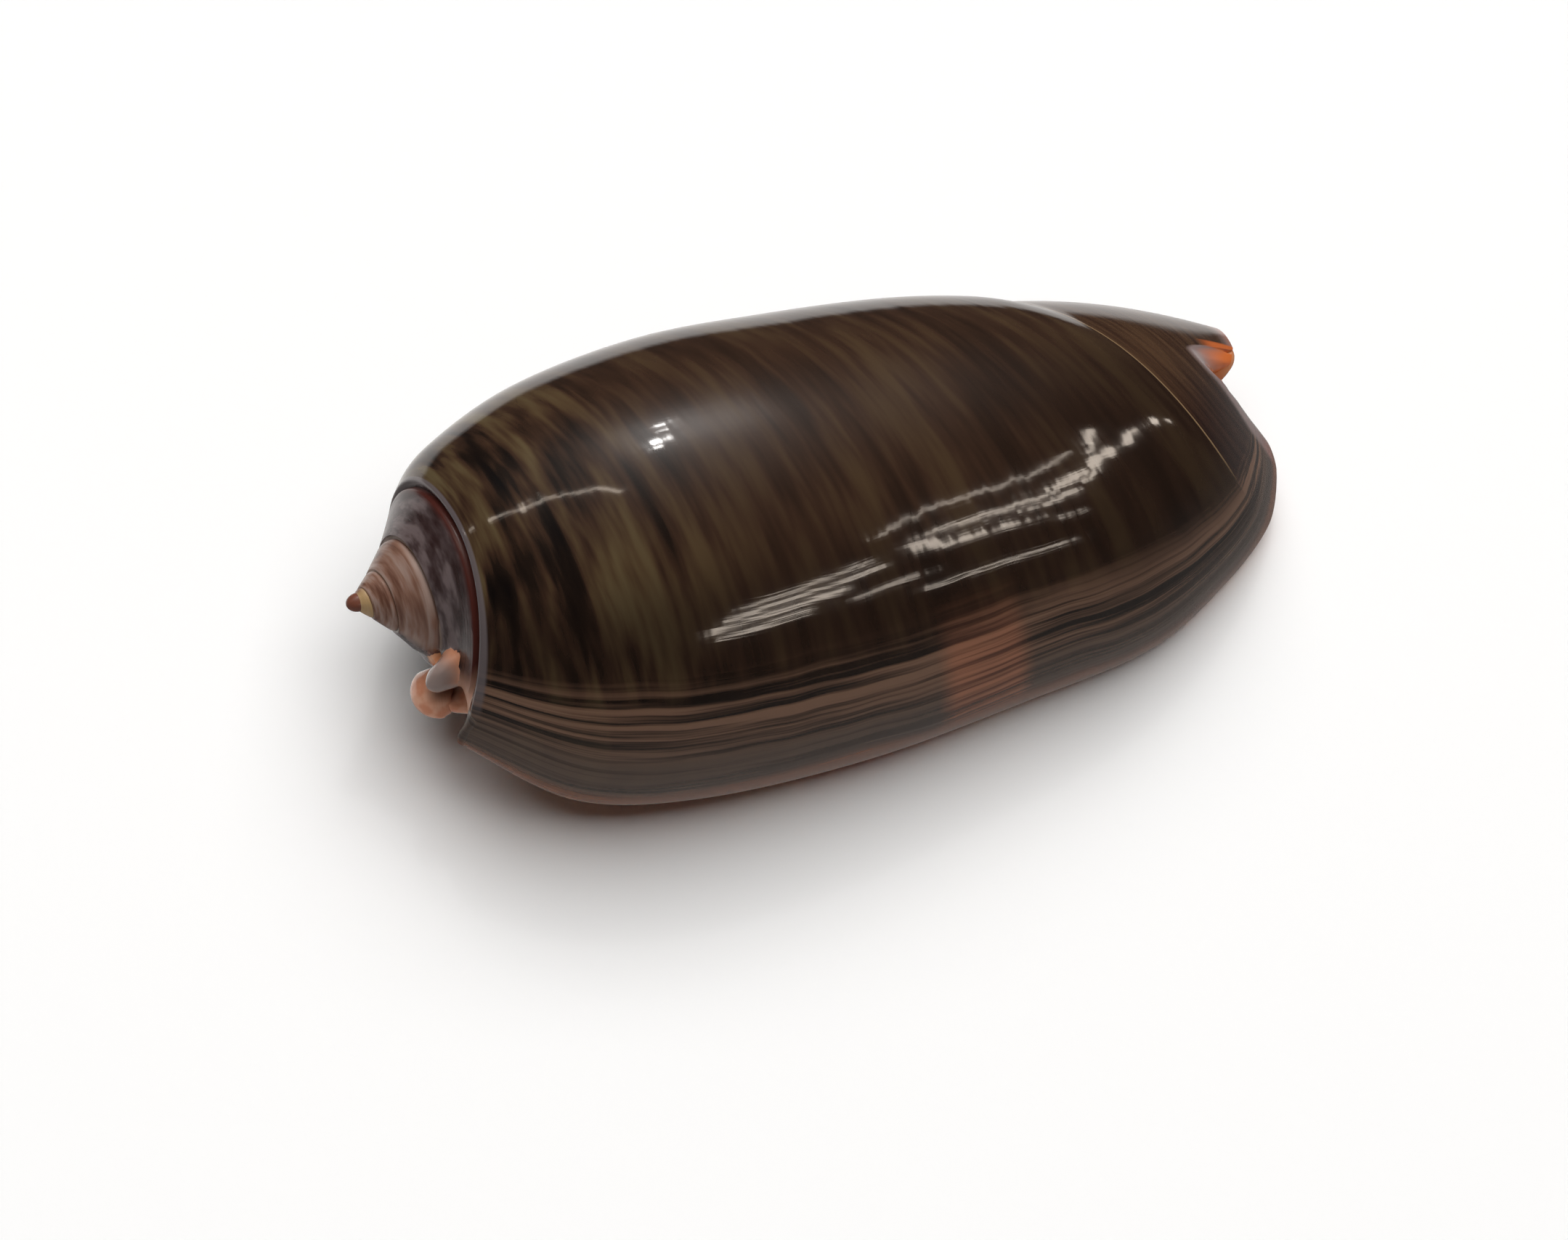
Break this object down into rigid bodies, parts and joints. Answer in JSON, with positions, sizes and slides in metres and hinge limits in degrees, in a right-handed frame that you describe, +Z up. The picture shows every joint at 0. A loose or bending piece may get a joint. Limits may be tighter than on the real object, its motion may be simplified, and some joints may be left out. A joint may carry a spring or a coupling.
{
  "type": "olive shell",
  "caption": "Empty olive sea shell: a long glossy body whorl, low channelled spire, folded columella and narrow mouth, lying on its mouth side.",
  "frame": {"origin": "centre of the bounding box's footprint, on the plane the shell rests on", "axes": "+X from the spire to the front notch, +Y to the rounded back of the whorl, away from the outer lip, +Z up from the mouth to the back"},
  "size_m": [0.065, 0.0284, 0.0224],
  "materials": {
    "shell": "glossy"
  },
  "bodies": {
    "root": {"shell": "shell"}
  },
  "joints": []
}
